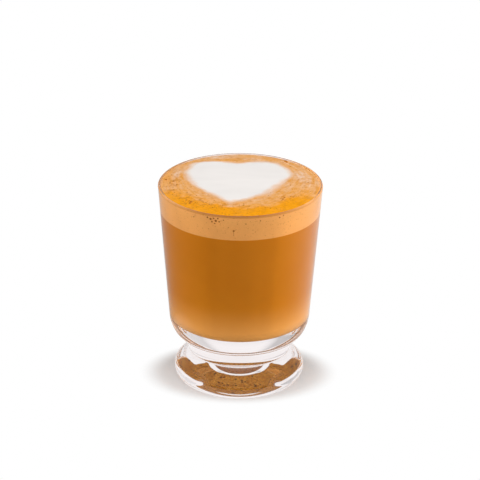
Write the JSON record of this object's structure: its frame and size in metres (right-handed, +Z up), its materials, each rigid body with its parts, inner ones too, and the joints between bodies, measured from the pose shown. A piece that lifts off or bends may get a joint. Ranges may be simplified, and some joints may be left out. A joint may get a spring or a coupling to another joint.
{
  "type": "glass of cappuccino",
  "caption": "Footed pressed-glass tumbler filled to the brim with milky coffee, a layer of milk foam with a brown coffee skin, and a white milk heart.",
  "frame": {"origin": "centre of the ring that the glass stands on", "axes": "+Z up along the glass's axis, -Y towards the drinker, where the heart's tip points"},
  "size_m": [0.0762, 0.0762, 0.0978],
  "materials": {
    "glass": "clear, fire-polished",
    "coffee": "opaque milky coffee, wet",
    "foam": "fine milk foam with a satin coffee skin",
    "milk_heart": "fine white milk foam, satin"
  },
  "bodies": {
    "root": {"glass": "glass", "coffee": "coffee", "foam": "foam", "milk_heart": "milk_heart"}
  },
  "joints": []
}
